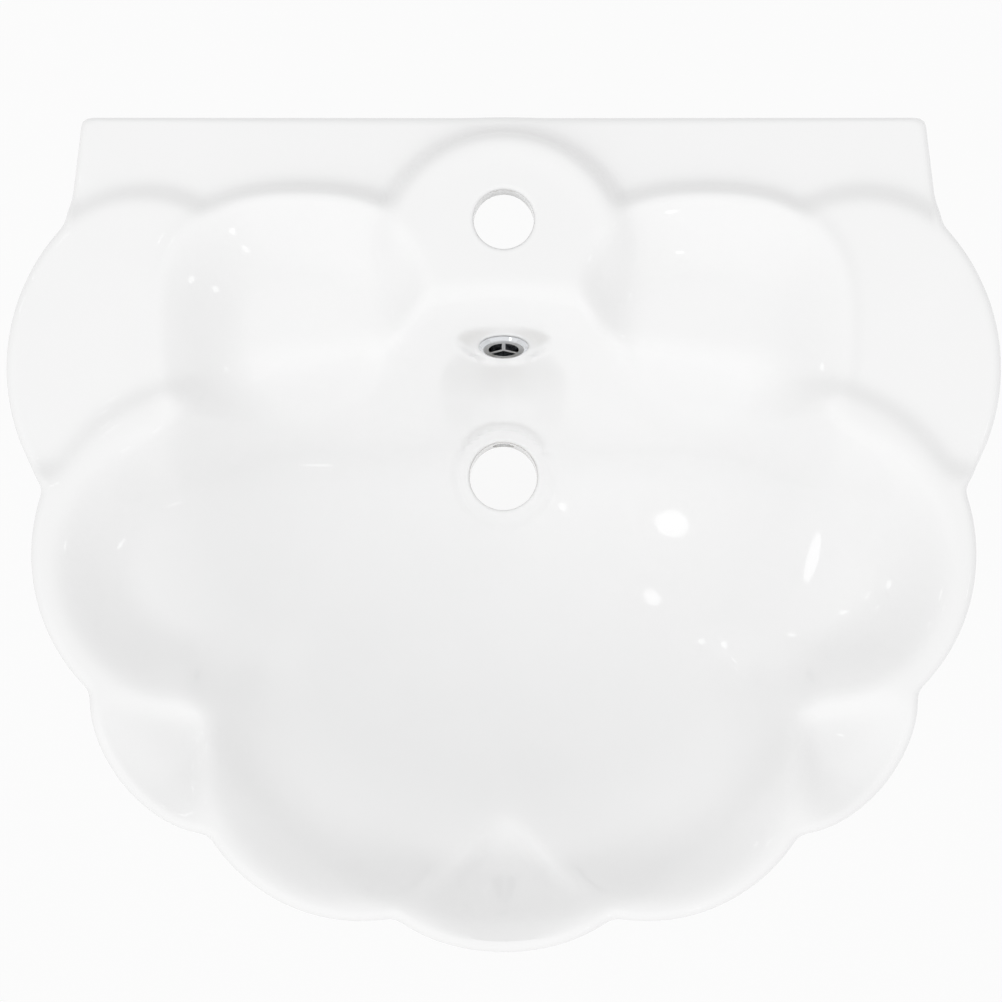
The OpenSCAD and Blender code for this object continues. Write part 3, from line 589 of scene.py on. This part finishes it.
duct = turned("duct", [(CHANNEL_R + 7, -BOSS_DROP), (CHANNEL_R + 7, -42)])
outlet = turned("outlet", [(CHANNEL_R + 6, 0), (CHANNEL_R + 6, DUCT_Y - DUCT_START)])
for joined in (rib(-RIB_X), rib(RIB_X), placed(duct, (0, DUCT_Y, RIM)),
               placed(outlet, (0, DUCT_START, RIM + DUCT_LOW), -math.pi / 2)):
    combine(basin, joined, "UNION")

cuts = [
    placed(turned("cut", flared(TAP_R, 90, LIP)), (0, TAP_Y, TAP_TOP)),
    placed(turned("cut", [(CLAMP_R, -46), (CLAMP_R, 0)]), (0, TAP_Y, TAP_TOP - TAP_LEDGE)),
    placed(turned("cut", flared(WASTE_R, 60, LIP)), (*WASTE, RIM - SEAT_DEPTH)),
    placed(turned("cut", [(OVERFLOW_R, -24), (OVERFLOW_R, 16)]), OVERFLOW, OVERFLOW_TILT),
    placed(turned("cut", [(CHANNEL_R, DUCT_LOW), (CHANNEL_R, -OVERFLOW_DROP)]), (0, DUCT_Y, RIM)),
    placed(turned("cut", [(OUTLET_R, 0), (OUTLET_R, DUCT_Y - OUTLET_START)]),
           (0, OUTLET_START, RIM + DUCT_LOW), -math.pi / 2)]
for x in (-BOLT_X, BOLT_X):
    bolt = turned("cut", [(BOLT_R, -10), (BOLT_R, 30)])
    cuts.append(placed(bolt, (x, WALL, RIM - BOLT_DROP), -math.pi / 2))
for cutter in cuts:
    left = combine(basin, cutter, "DIFFERENCE")
print("basin with its holes:", left, "faces")

# %% [markdown]
# ## The column
# The pedestal is cast as one open-backed shell: a round front, straight sides
# and two edges that turn in at the back, 12 mm thick all over. Its half width
# narrows from the foot to a waist and opens again under the basin. In plan it
# is always the same C, so one closed loop of points is scaled by the half
# width of each height, and the loops are joined like the basin's rings.

# %% Half width of the column by height
FOOT_R, PED_BACK, PED_H = np.array(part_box("pedestal")[1]) * 1000
WAIST_R, TOP_R = 74.0, COLLAR_R
PLINTH, WAIST_Z = 26.0, 420.0
PED_T, RETURN_W = 12.0, 28.0


def column_radius(z):
    """From the foot, less 8 mm, to the waist as the 2.6th power of the height
    left; then from the waist to the top as the 2.2th power of the height gained."""
    t = np.clip((z - PLINTH) / (WAIST_Z - PLINTH), 0, 1)
    lower = WAIST_R + (FOOT_R - 8 - WAIST_R) * (1 - t) ** 2.6
    u = np.clip((z - WAIST_Z) / (PED_H - WAIST_Z), 0, 1)
    return np.where(z < WAIST_Z, lower, WAIST_R + (TOP_R - WAIST_R) * u ** 2.2)


def column_profile():
    """Outside half width and height pairs from the floor up: the plinth with a
    rounded foot and shoulder, a small hollow fillet, and the shaft."""
    q = np.linspace(0, math.pi / 2, 7)
    foot = np.stack([FOOT_R - 3 + 3 * np.sin(q), 3 - 3 * np.cos(q)], axis=-1)
    shoulder = np.stack([FOOT_R - 4 + 4 * np.cos(q), PLINTH - 4 + 4 * np.sin(q)], axis=-1)
    corner = column_radius(PLINTH + 3.0)
    fillet = np.stack([corner + 3 - 3 * np.sin(q), PLINTH + 3 - 3 * np.cos(q)], axis=-1)
    z = np.linspace(PLINTH + 4, PED_H - 2, 150)
    shaft = np.stack([column_radius(z), z], axis=-1)
    lip = np.stack([TOP_R - 2 + 2 * np.cos(q), PED_H - 2 + 2 * np.sin(q)], axis=-1)
    return np.concatenate([foot, shoulder, fillet, shaft, lip[1:]])


def c_loop(radius, back, inward, corner_r):
    """The C in plan for each half width, as rows of x and y: from the inner end
    of one turned-in edge, round its corner, along the side, round the front
    and back to the other edge."""
    r = np.asarray(radius, float)[:, None]
    q = np.linspace(0, math.pi / 2, 6)[None, 1:-1]
    flat = np.linspace(0, 1, 6)[None, :]
    edge_x = r - inward + (inward - corner_r) * flat
    turn_x, turn_y = r - corner_r + corner_r * np.sin(q), back - corner_r + corner_r * np.cos(q)
    side_y = back - corner_r + (WASTE[1] - back + corner_r) * np.linspace(0, 1, 10)[None, :]
    x = np.concatenate([edge_x, turn_x, r + 0 * side_y], axis=1)
    y = np.concatenate([back + 0 * edge_x, turn_y + 0 * r, side_y + 0 * r], axis=1)
    a = np.linspace(0, -math.pi, 81)[None, 1:-1]
    return (np.concatenate([x, r * np.cos(a), -x[:, ::-1]], axis=1),
            np.concatenate([y, WASTE[1] + r * np.sin(a), y[:, ::-1]], axis=1))


print("waist:", round(float(column_radius(np.array(WAIST_Z))), 1), "mm, height", round(PED_H, 1))

# %% Skin of the column
profile = column_profile()
heights = profile[:, 1]
inner_r = np.where(heights < PLINTH + 4, column_radius(PLINTH), column_radius(heights)) - PED_T
outer_x, outer_y = c_loop(profile[:, 0], PED_BACK, RETURN_W, 3.0)
inner_x, inner_y = c_loop(inner_r, PED_BACK - PED_T, RETURN_W - PED_T, 2.0)
z = np.repeat(heights[:, None], outer_x.shape[1] * 2, axis=1)
loops = np.stack([np.concatenate([outer_x, inner_x[:, ::-1]], axis=1),
                  np.concatenate([outer_y, inner_y[:, ::-1]], axis=1), z], axis=-1)
m, n = loops.shape[:2]
ends = fold_quads(n)
faces = ring_quads(m, n) + ends.tolist() + (ends[:, ::-1] + (m - 1) * n).tolist()
column = new_piece("pedestal_ware", loops.reshape(-1, 3), faces)
print("column skin:", m, "loops of", n, "points")

# %% Tie web, sleeve bores and cap seats


def block(name, corner_a, corner_b):
    """Closed box between two corners."""
    k = np.array([[0, 0], [1, 0], [1, 1], [0, 1]])
    a, b = np.array(corner_a, float), np.array(corner_b, float)
    ring = a[:2] + (b[:2] - a[:2]) * k
    both = np.concatenate([np.column_stack([ring, np.full(4, v)]) for v in (a[2], b[2])])
    quads = [q[::-1] for q in ring_quads(2, 4)] + [[3, 2, 1, 0], [4, 5, 6, 7]]
    return new_piece(name, both, quads)


def laid(piece, side, y, z):
    """Turns a piece made along Z to lie along X, pointing to that side."""
    px, py, pz = get_points(piece).T
    return set_points(piece, np.stack([pz * side, py * side + y / 1000, z / 1000 - px], axis=-1))


WEB_Z, WEB_W = 560.0, 26.0
web_x = float(column_radius(np.array(WEB_Z))) - PED_T / 2
combine(column, block("web", (-web_x, PED_BACK - WEB_W, WEB_Z),
                      (web_x, PED_BACK - 1, WEB_Z + PED_T)), "UNION")
SCREW_Y, SCREW_Z = PED_BACK - 37.0, 16.0
SLEEVE_R, CAP_R = 4.0, 8.3
sleeve_bore = [(SLEEVE_R, FOOT_R - 40), (SLEEVE_R, FOOT_R + 10)]
cap_seat = [(CAP_R, FOOT_R - 2.2), (CAP_R, FOOT_R + 8)]
for side in (-1, 1):
    for bore in (sleeve_bore, cap_seat):
        left = combine(column, laid(turned("cut", bore), side, SCREW_Y, SCREW_Z), "DIFFERENCE")
print("column with its holes:", left, "faces")

# %% [markdown]
# ## Glazed and bare china
# Vitreous china is dipped or sprayed with a white glaze wherever it shows. It
# stays bare inside the collar and the column, on the collar's foot, and on the
# column's edges towards the floor, the wall and the basin. Each point of the
# two big pieces carries a number, 1 for glaze and 0 for bare clay, and the
# material blends by it.

# %% Glaze attribute


def glaze(piece, share):
    """Stores the share of glaze, a function of x, y and z in millimetres, as
    the piece's own attribute, and returns its mean."""
    values = np.clip(share(*(get_points(piece).T * 1000)), 0, 1)
    layer = piece.data.attributes.new("glaze", "FLOAT", "POINT")
    layer.data.foreach_set("value", values.astype(np.float32))
    return round(float(values.mean()), 2)


def basin_glaze(x, y, z):
    """Bare inside the collar, where nobody sees it, and on the collar's foot.
    The bores of the waste and tap holes keep their glaze."""
    a = np.arctan2(y - WASTE[1], x)
    from_waste = np.hypot(x, y - WASTE[1])
    in_hole = (from_waste < WASTE_R + 1.5) | (np.hypot(x, y - TAP_Y) < TAP_R + 1.5)
    under = (z < RIM + top_height(x, y) - 9) & (from_waste < collar_distance(a) - 4) & ~in_hole
    foot = z < RIM - COLLAR_DROP + 1
    return 1.0 - (under | foot)


def column_glaze(x, y, z):
    """Bare on the floor edge, the top edge, the back edge and everywhere inside."""
    r = np.hypot(x, np.minimum(0, y - WASTE[1]))
    return ((r > column_radius(z) - 5) & (z > 2) & (z < PED_H - 1) & (y < PED_BACK - 0.5)) * 1.0


print("glazed share:", glaze(basin, basin_glaze), glaze(column, column_glaze))

# %% [markdown]
# ## Materials
# A material is a tree of nodes. One function adds a node, fills its sockets
# and links them, and one turns a hex colour, which is how a screen stores it,
# into the linear values that the renderer adds up.

# %% Colour and node helpers


def linear(hex_colour):
    """sRGB hex to linear: c / 12.92 up to 0.04045, ((c + 0.055) / 1.055)^2.4 above."""
    c = np.array([int(hex_colour[k:k + 2], 16) for k in (1, 3, 5)]) / 255
    c = np.where(c <= 0.04045, c / 12.92, ((c + 0.055) / 1.055) ** 2.4)
    return (*c.tolist(), 1.0)


def add(tree, kind, inputs=None, **settings):
    """Adds a node, sets its properties, and fills or links its inputs, which
    are given by name or by number."""
    node = tree.nodes.new(kind)
    for key, value in settings.items():
        setattr(node, key, value)
    for key, value in (inputs or {}).items():
        if isinstance(value, bpy.types.NodeSocket):
            tree.links.new(value, node.inputs[key])
        else:
            node.inputs[key].default_value = value
    return node


def new_material(name, **constants):
    """A material with a Principled shader, its constant sockets set, and the
    Object coordinates that its patterns read."""
    made = bpy.data.materials.new(name)
    made.use_nodes = True
    tree = made.node_tree
    tree.nodes.clear()
    shader = add(tree, "ShaderNodeBsdfPrincipled",
                 {key.replace("_", " "): value for key, value in constants.items()})
    add(tree, "ShaderNodeOutputMaterial", {"Surface": shader.outputs["BSDF"]})
    return made, tree, shader, add(tree, "ShaderNodeTexCoord").outputs["Object"]


def blend_colour(tree, share, a, b):
    """Mix node from colour a to colour b."""
    return add(tree, "ShaderNodeMix", {0: share, 6: a, 7: b}, data_type="RGBA").outputs[2]


def noise(tree, place, millimetres, detail=2.0):
    """Soft random pattern whose blobs are about that many millimetres across."""
    return add(tree, "ShaderNodeTexNoise", {"Vector": place, "Scale": 1000 / millimetres,
                                            "Detail": detail}).outputs["Fac"]


def roughen(tree, shader, share, least, most):
    """Roughness that runs from the least to the most as the share goes 0 to 1."""
    rough = add(tree, "ShaderNodeMapRange", {"Value": share, "To Min": least, "To Max": most})
    tree.links.new(rough.outputs["Result"], shader.inputs["Roughness"])


print("white glaze in linear light:", [round(v, 3) for v in linear("#fafafa")[:3]])

# %% [markdown]
# ### Vitreous china
# The glaze is a white, opaque glass about half a millimetre thick, fired onto
# dense white clay. Glass gives it an index of refraction of 1.52 and an almost
# polished surface. A very low waviness a few centimetres wide, where the glaze
# ran in the kiln, keeps its reflections from looking like plastic. Bare clay
# is a warm matt white with a fine sandy grain.

# %% Vitreous china
china, tree, shader, place = new_material("vitreous_china_glazed", IOR=1.52)
glazed = add(tree, "ShaderNodeAttribute", attribute_name="glaze").outputs["Fac"]
run = noise(tree, place, 45, 3.0)
sand = noise(tree, place, 1.2, 3.0)
white = blend_colour(tree, run, linear("#fcfcfc"), linear("#fafafa"))
clay = blend_colour(tree, sand, linear("#e9e4d8"), linear("#dcd5c6"))
colour = blend_colour(tree, glazed, clay, white)
tree.links.new(colour, shader.inputs["Base Color"])
roughen(tree, shader, glazed, 0.8, 0.045)
bare = add(tree, "ShaderNodeMath", {0: 1.0, 1: glazed}, operation="SUBTRACT").outputs[0]
wave = add(tree, "ShaderNodeBump", {"Height": run, "Strength": 1.0, "Distance": 0.00009})
grain = add(tree, "ShaderNodeBump", {"Height": sand, "Strength": bare, "Distance": 0.00008,
                                     "Normal": wave.outputs["Normal"]})
tree.links.new(grain.outputs["Normal"], shader.inputs["Normal"])
print(china.name, "nodes:", len(tree.nodes))

# %% [markdown]
# ### Chrome on plastic
# The overflow ring is moulded plastic, plated with nickel and a blue-grey film
# of chromium. It is a full metal to the light, and as smooth as its mould, with
# only faint polishing marks.

# %% Chromed ring
chrome, tree, shader, place = new_material("chrome_plated_plastic", Metallic=1.0)
marks = noise(tree, place, 0.8, 4.0)
tree.links.new(blend_colour(tree, marks, linear("#e6e8ea"), linear("#dcdee1")),
               shader.inputs["Base Color"])
roughen(tree, shader, marks, 0.04, 0.09)
print(chrome.name, "nodes:", len(tree.nodes))

# %% [markdown]
# ### Rubber, plastics and steel
# The hidden fittings are plain stock parts. The pads are black vulcanised
# rubber with a dusty bloom, the brackets are grey moulded nylon with a fine
# spark-eroded texture, the sleeves are natural nylon, the screws are drawn
# steel plated with bright zinc, and the caps are glossy white moulded plastic.

# %% Finishes of the hidden fittings


def speckled(name, dark, light, millimetres, least, most, height, **constants):
    """Fine noise that mixes two close colours, a roughness range and a bump."""
    made, tree, shader, place = new_material(name, **constants)
    spots = noise(tree, place, millimetres, 3.0)
    tree.links.new(blend_colour(tree, spots, linear(dark), linear(light)),
                   shader.inputs["Base Color"])
    roughen(tree, shader, spots, least, most)
    bump = add(tree, "ShaderNodeBump", {"Height": spots, "Distance": height, "Strength": 0.6})
    tree.links.new(bump.outputs["Normal"], shader.inputs["Normal"])
    return made


rubber = speckled("vulcanised_rubber", "#1c1d1f", "#2e2f31", 0.6, 0.6, 0.8, 0.00004, IOR=1.52)
bracket = speckled("moulded_nylon_grey", "#b9bbbd", "#c6c8ca", 0.5, 0.45, 0.6, 0.00003, IOR=1.53)
sleeve = speckled("natural_nylon", "#ddd8c8", "#e8e4d6", 0.7, 0.35, 0.5, 0.00002, IOR=1.53)
cap_plastic = speckled("gloss_moulded_plastic", "#efefee", "#f3f3f2", 1.5, 0.1, 0.18, 0.00001,
                       IOR=1.49)


def zinc_plated():
    """Drawn steel under zinc: lines 0.3 mm apart along X, 40 times longer than wide."""
    made, tree, shader, place = new_material("zinc_plated_steel", Metallic=1.0)
    stretched = add(tree, "ShaderNodeMapping", {"Vector": place, "Scale": (0.025, 1.0, 1.0)})
    lines = noise(tree, stretched.outputs["Vector"], 0.3, 2.0)
    tree.links.new(blend_colour(tree, lines, linear("#b3b7bb"), linear("#c9cdd0")),
                   shader.inputs["Base Color"])
    roughen(tree, shader, lines, 0.22, 0.4)
    return made


steel = zinc_plated()
print("fittings:", rubber.name, bracket.name, sleeve.name, cap_plastic.name, steel.name)

# %% Put the finishes on
finish_by_word = {"seat_pad": rubber, "floor_bracket": bracket, "screw_sleeve": sleeve,
                  "side_screw": steel, "screw_cap": cap_plastic, "overflow_ring": chrome}
for name, solid in nodes.items():
    for word, made in finish_by_word.items():
        if name.startswith(word):
            for material_slot in solid.material_slots:
                material_slot.material = made
for piece, stands_for in ((basin, "basin"), (column, "pedestal")):
    piece.data.materials.clear()
    piece.data.materials.append(china)
    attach(piece, "root")
    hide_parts(stands_for)
print("finished:", sorted(nodes))

# %% [markdown]
# ## Studio
# White china is lit best by a bright, even room: a pale floor and a white sky
# that is brighter overhead, towards the front and a little to the left. That
# lean shades the walls that face away from it. To the camera and in every
# reflection the sky is plain white. So is the floor, apart from a little of the
# object's shadow: most of what is seen of it is a white glow, and the rest is
# matt paint.

# %% Floor and sky
GLOW_SHARE = 0.92
SKY_LEAN = (-0.171, -0.470, 0.866)
SKY_LEVEL, SKY_LOBE, SKY_SEEN = 0.69, 0.84, 0.98


def seen_rays(tree):
    """1 for the camera's own rays and those that it sees in a gloss or through
    glass, and 0 for the rays that carry light to the shading."""
    ray = add(tree, "ShaderNodeLightPath").outputs
    seen = add(tree, "ShaderNodeMath", {0: ray["Is Camera Ray"], 1: ray["Is Glossy Ray"]},
               operation="MAXIMUM")
    seen = add(tree, "ShaderNodeMath", {0: seen.outputs[0], 1: ray["Is Transmission Ray"]},
               operation="MAXIMUM")
    return seen.outputs[0]


floor_mesh = bpy.data.meshes.new("studio_floor")
floor_mesh.from_pydata([(-6, -6, 0), (6, -6, 0), (6, 6, 0), (-6, 6, 0)], [], [(0, 1, 2, 3)])
floor = bpy.data.objects.new("studio_floor", floor_mesh)
bpy.context.scene.collection.objects.link(floor)
paint = bpy.data.materials.new("matt_floor_paint")
paint.use_nodes = True
tree = paint.node_tree
tree.nodes.clear()
matt = add(tree, "ShaderNodeBsdfDiffuse", {"Color": linear("#d4d4d4")})
glow = add(tree, "ShaderNodeEmission", {"Color": linear("#ffffff"), "Strength": 1.0})
share = add(tree, "ShaderNodeMath", {0: seen_rays(tree), 1: GLOW_SHARE}, operation="MULTIPLY")
both = add(tree, "ShaderNodeMixShader",
           {0: share.outputs[0], 1: matt.outputs[0], 2: glow.outputs[0]})
add(tree, "ShaderNodeOutputMaterial", {"Surface": both.outputs[0]})
floor_mesh.materials.append(paint)

scene = bpy.context.scene
sky = bpy.data.worlds.new("white_room")
sky.use_nodes = True
scene.world = sky
tree = sky.node_tree
tree.nodes.clear()
way = add(tree, "ShaderNodeTexCoord").outputs["Generated"]
# 0.69 all round, and 0.84 more times the 4th power of the cosine to the lean
toward = add(tree, "ShaderNodeVectorMath", {0: way, 1: SKY_LEAN}, operation="DOT_PRODUCT")
ahead = add(tree, "ShaderNodeMath", {0: toward.outputs["Value"], 1: 0.0}, operation="MAXIMUM")
lobe = add(tree, "ShaderNodeMath", {0: ahead.outputs[0], 1: 4.0}, operation="POWER")
level = add(tree, "ShaderNodeMath", {0: lobe.outputs[0], 1: SKY_LOBE, 2: SKY_LEVEL},
            operation="MULTIPLY_ADD")
level = add(tree, "ShaderNodeMix", {0: seen_rays(tree), 2: level.outputs[0], 3: SKY_SEEN})
air = add(tree, "ShaderNodeBackground", {"Color": linear("#ffffff"), "Strength": level.outputs[0]})
add(tree, "ShaderNodeOutputWorld", {"Surface": air.outputs[0]})
print("floor and sky ready")

# %% [markdown]
# ## Softboxes
# A glaze shows where its lamps are. Five small softboxes stand round the sink,
# each aimed at the curve that should carry its highlight. They are about twice
# as bright as the sky, so a highlight is white but the shading stays soft.

# %% Softboxes
LAMP_DISTANCE = 2.2
LAMP_BRIGHTNESS = 2.2


def softbox(name, aim, direction, size):
    """Round lamp, its aim and size in millimetres, that stands 2.2 m off in the
    direction given. Its power is brightness, in skies, times pi times area."""
    lamp = bpy.data.lights.new(name, "AREA")
    lamp.shape = "DISK"
    lamp.size = size / 1000
    lamp.energy = LAMP_BRIGHTNESS * math.pi ** 2 * lamp.size ** 2 / 4
    box = bpy.data.objects.new(name, lamp)
    away = Vector(direction).normalized()
    box.location = Vector(aim) / 1000 + away * LAMP_DISTANCE
    box.rotation_euler = away.to_track_quat("Z", "Y").to_euler()
    scene.collection.objects.link(box)


softbox("left_window", (108, 5, RIM - 112), (-0.80, 0.30, 0.52), 210)
softbox("rear_window", (95, -66, RIM - 118), (-0.66, 0.56, 0.48), 110)
softbox("right_window", (-119, 44, RIM - 108), (0.87, -0.11, 0.49), 190)
softbox("front_lamp", (45, 130, RIM), (0.30, -0.88, 0.38), 190)
softbox("high_lamp", (28, 29, RIM - SEAT_DEPTH), (-0.46, 0.29, 0.84), 110)

# %% [markdown]
# ## Camera
# The basin is seen from straight above, as in a shop's catalogue: the lens
# hangs a metre over the rim, a little in front of the middle, and looks down
# with a tilt of four and a half degrees towards the wall. A 62 mm lens on a
# 36 mm sensor fills the frame with the basin.

# %% Camera
lens = bpy.data.cameras.new("camera")
lens.lens, lens.sensor_width = 62.0, 36.0
camera = bpy.data.objects.new("camera", lens)
camera.location = (-0.0016, -0.0645, (RIM + 987) / 1000)
camera.rotation_euler = (math.radians(4.5), 0.0, 0.0)
scene.collection.objects.link(camera)
scene.camera = camera
scene.view_settings.view_transform = "Standard"
print("camera at", tuple(round(v, 3) for v in camera.location))

# %% End
print("scene built")
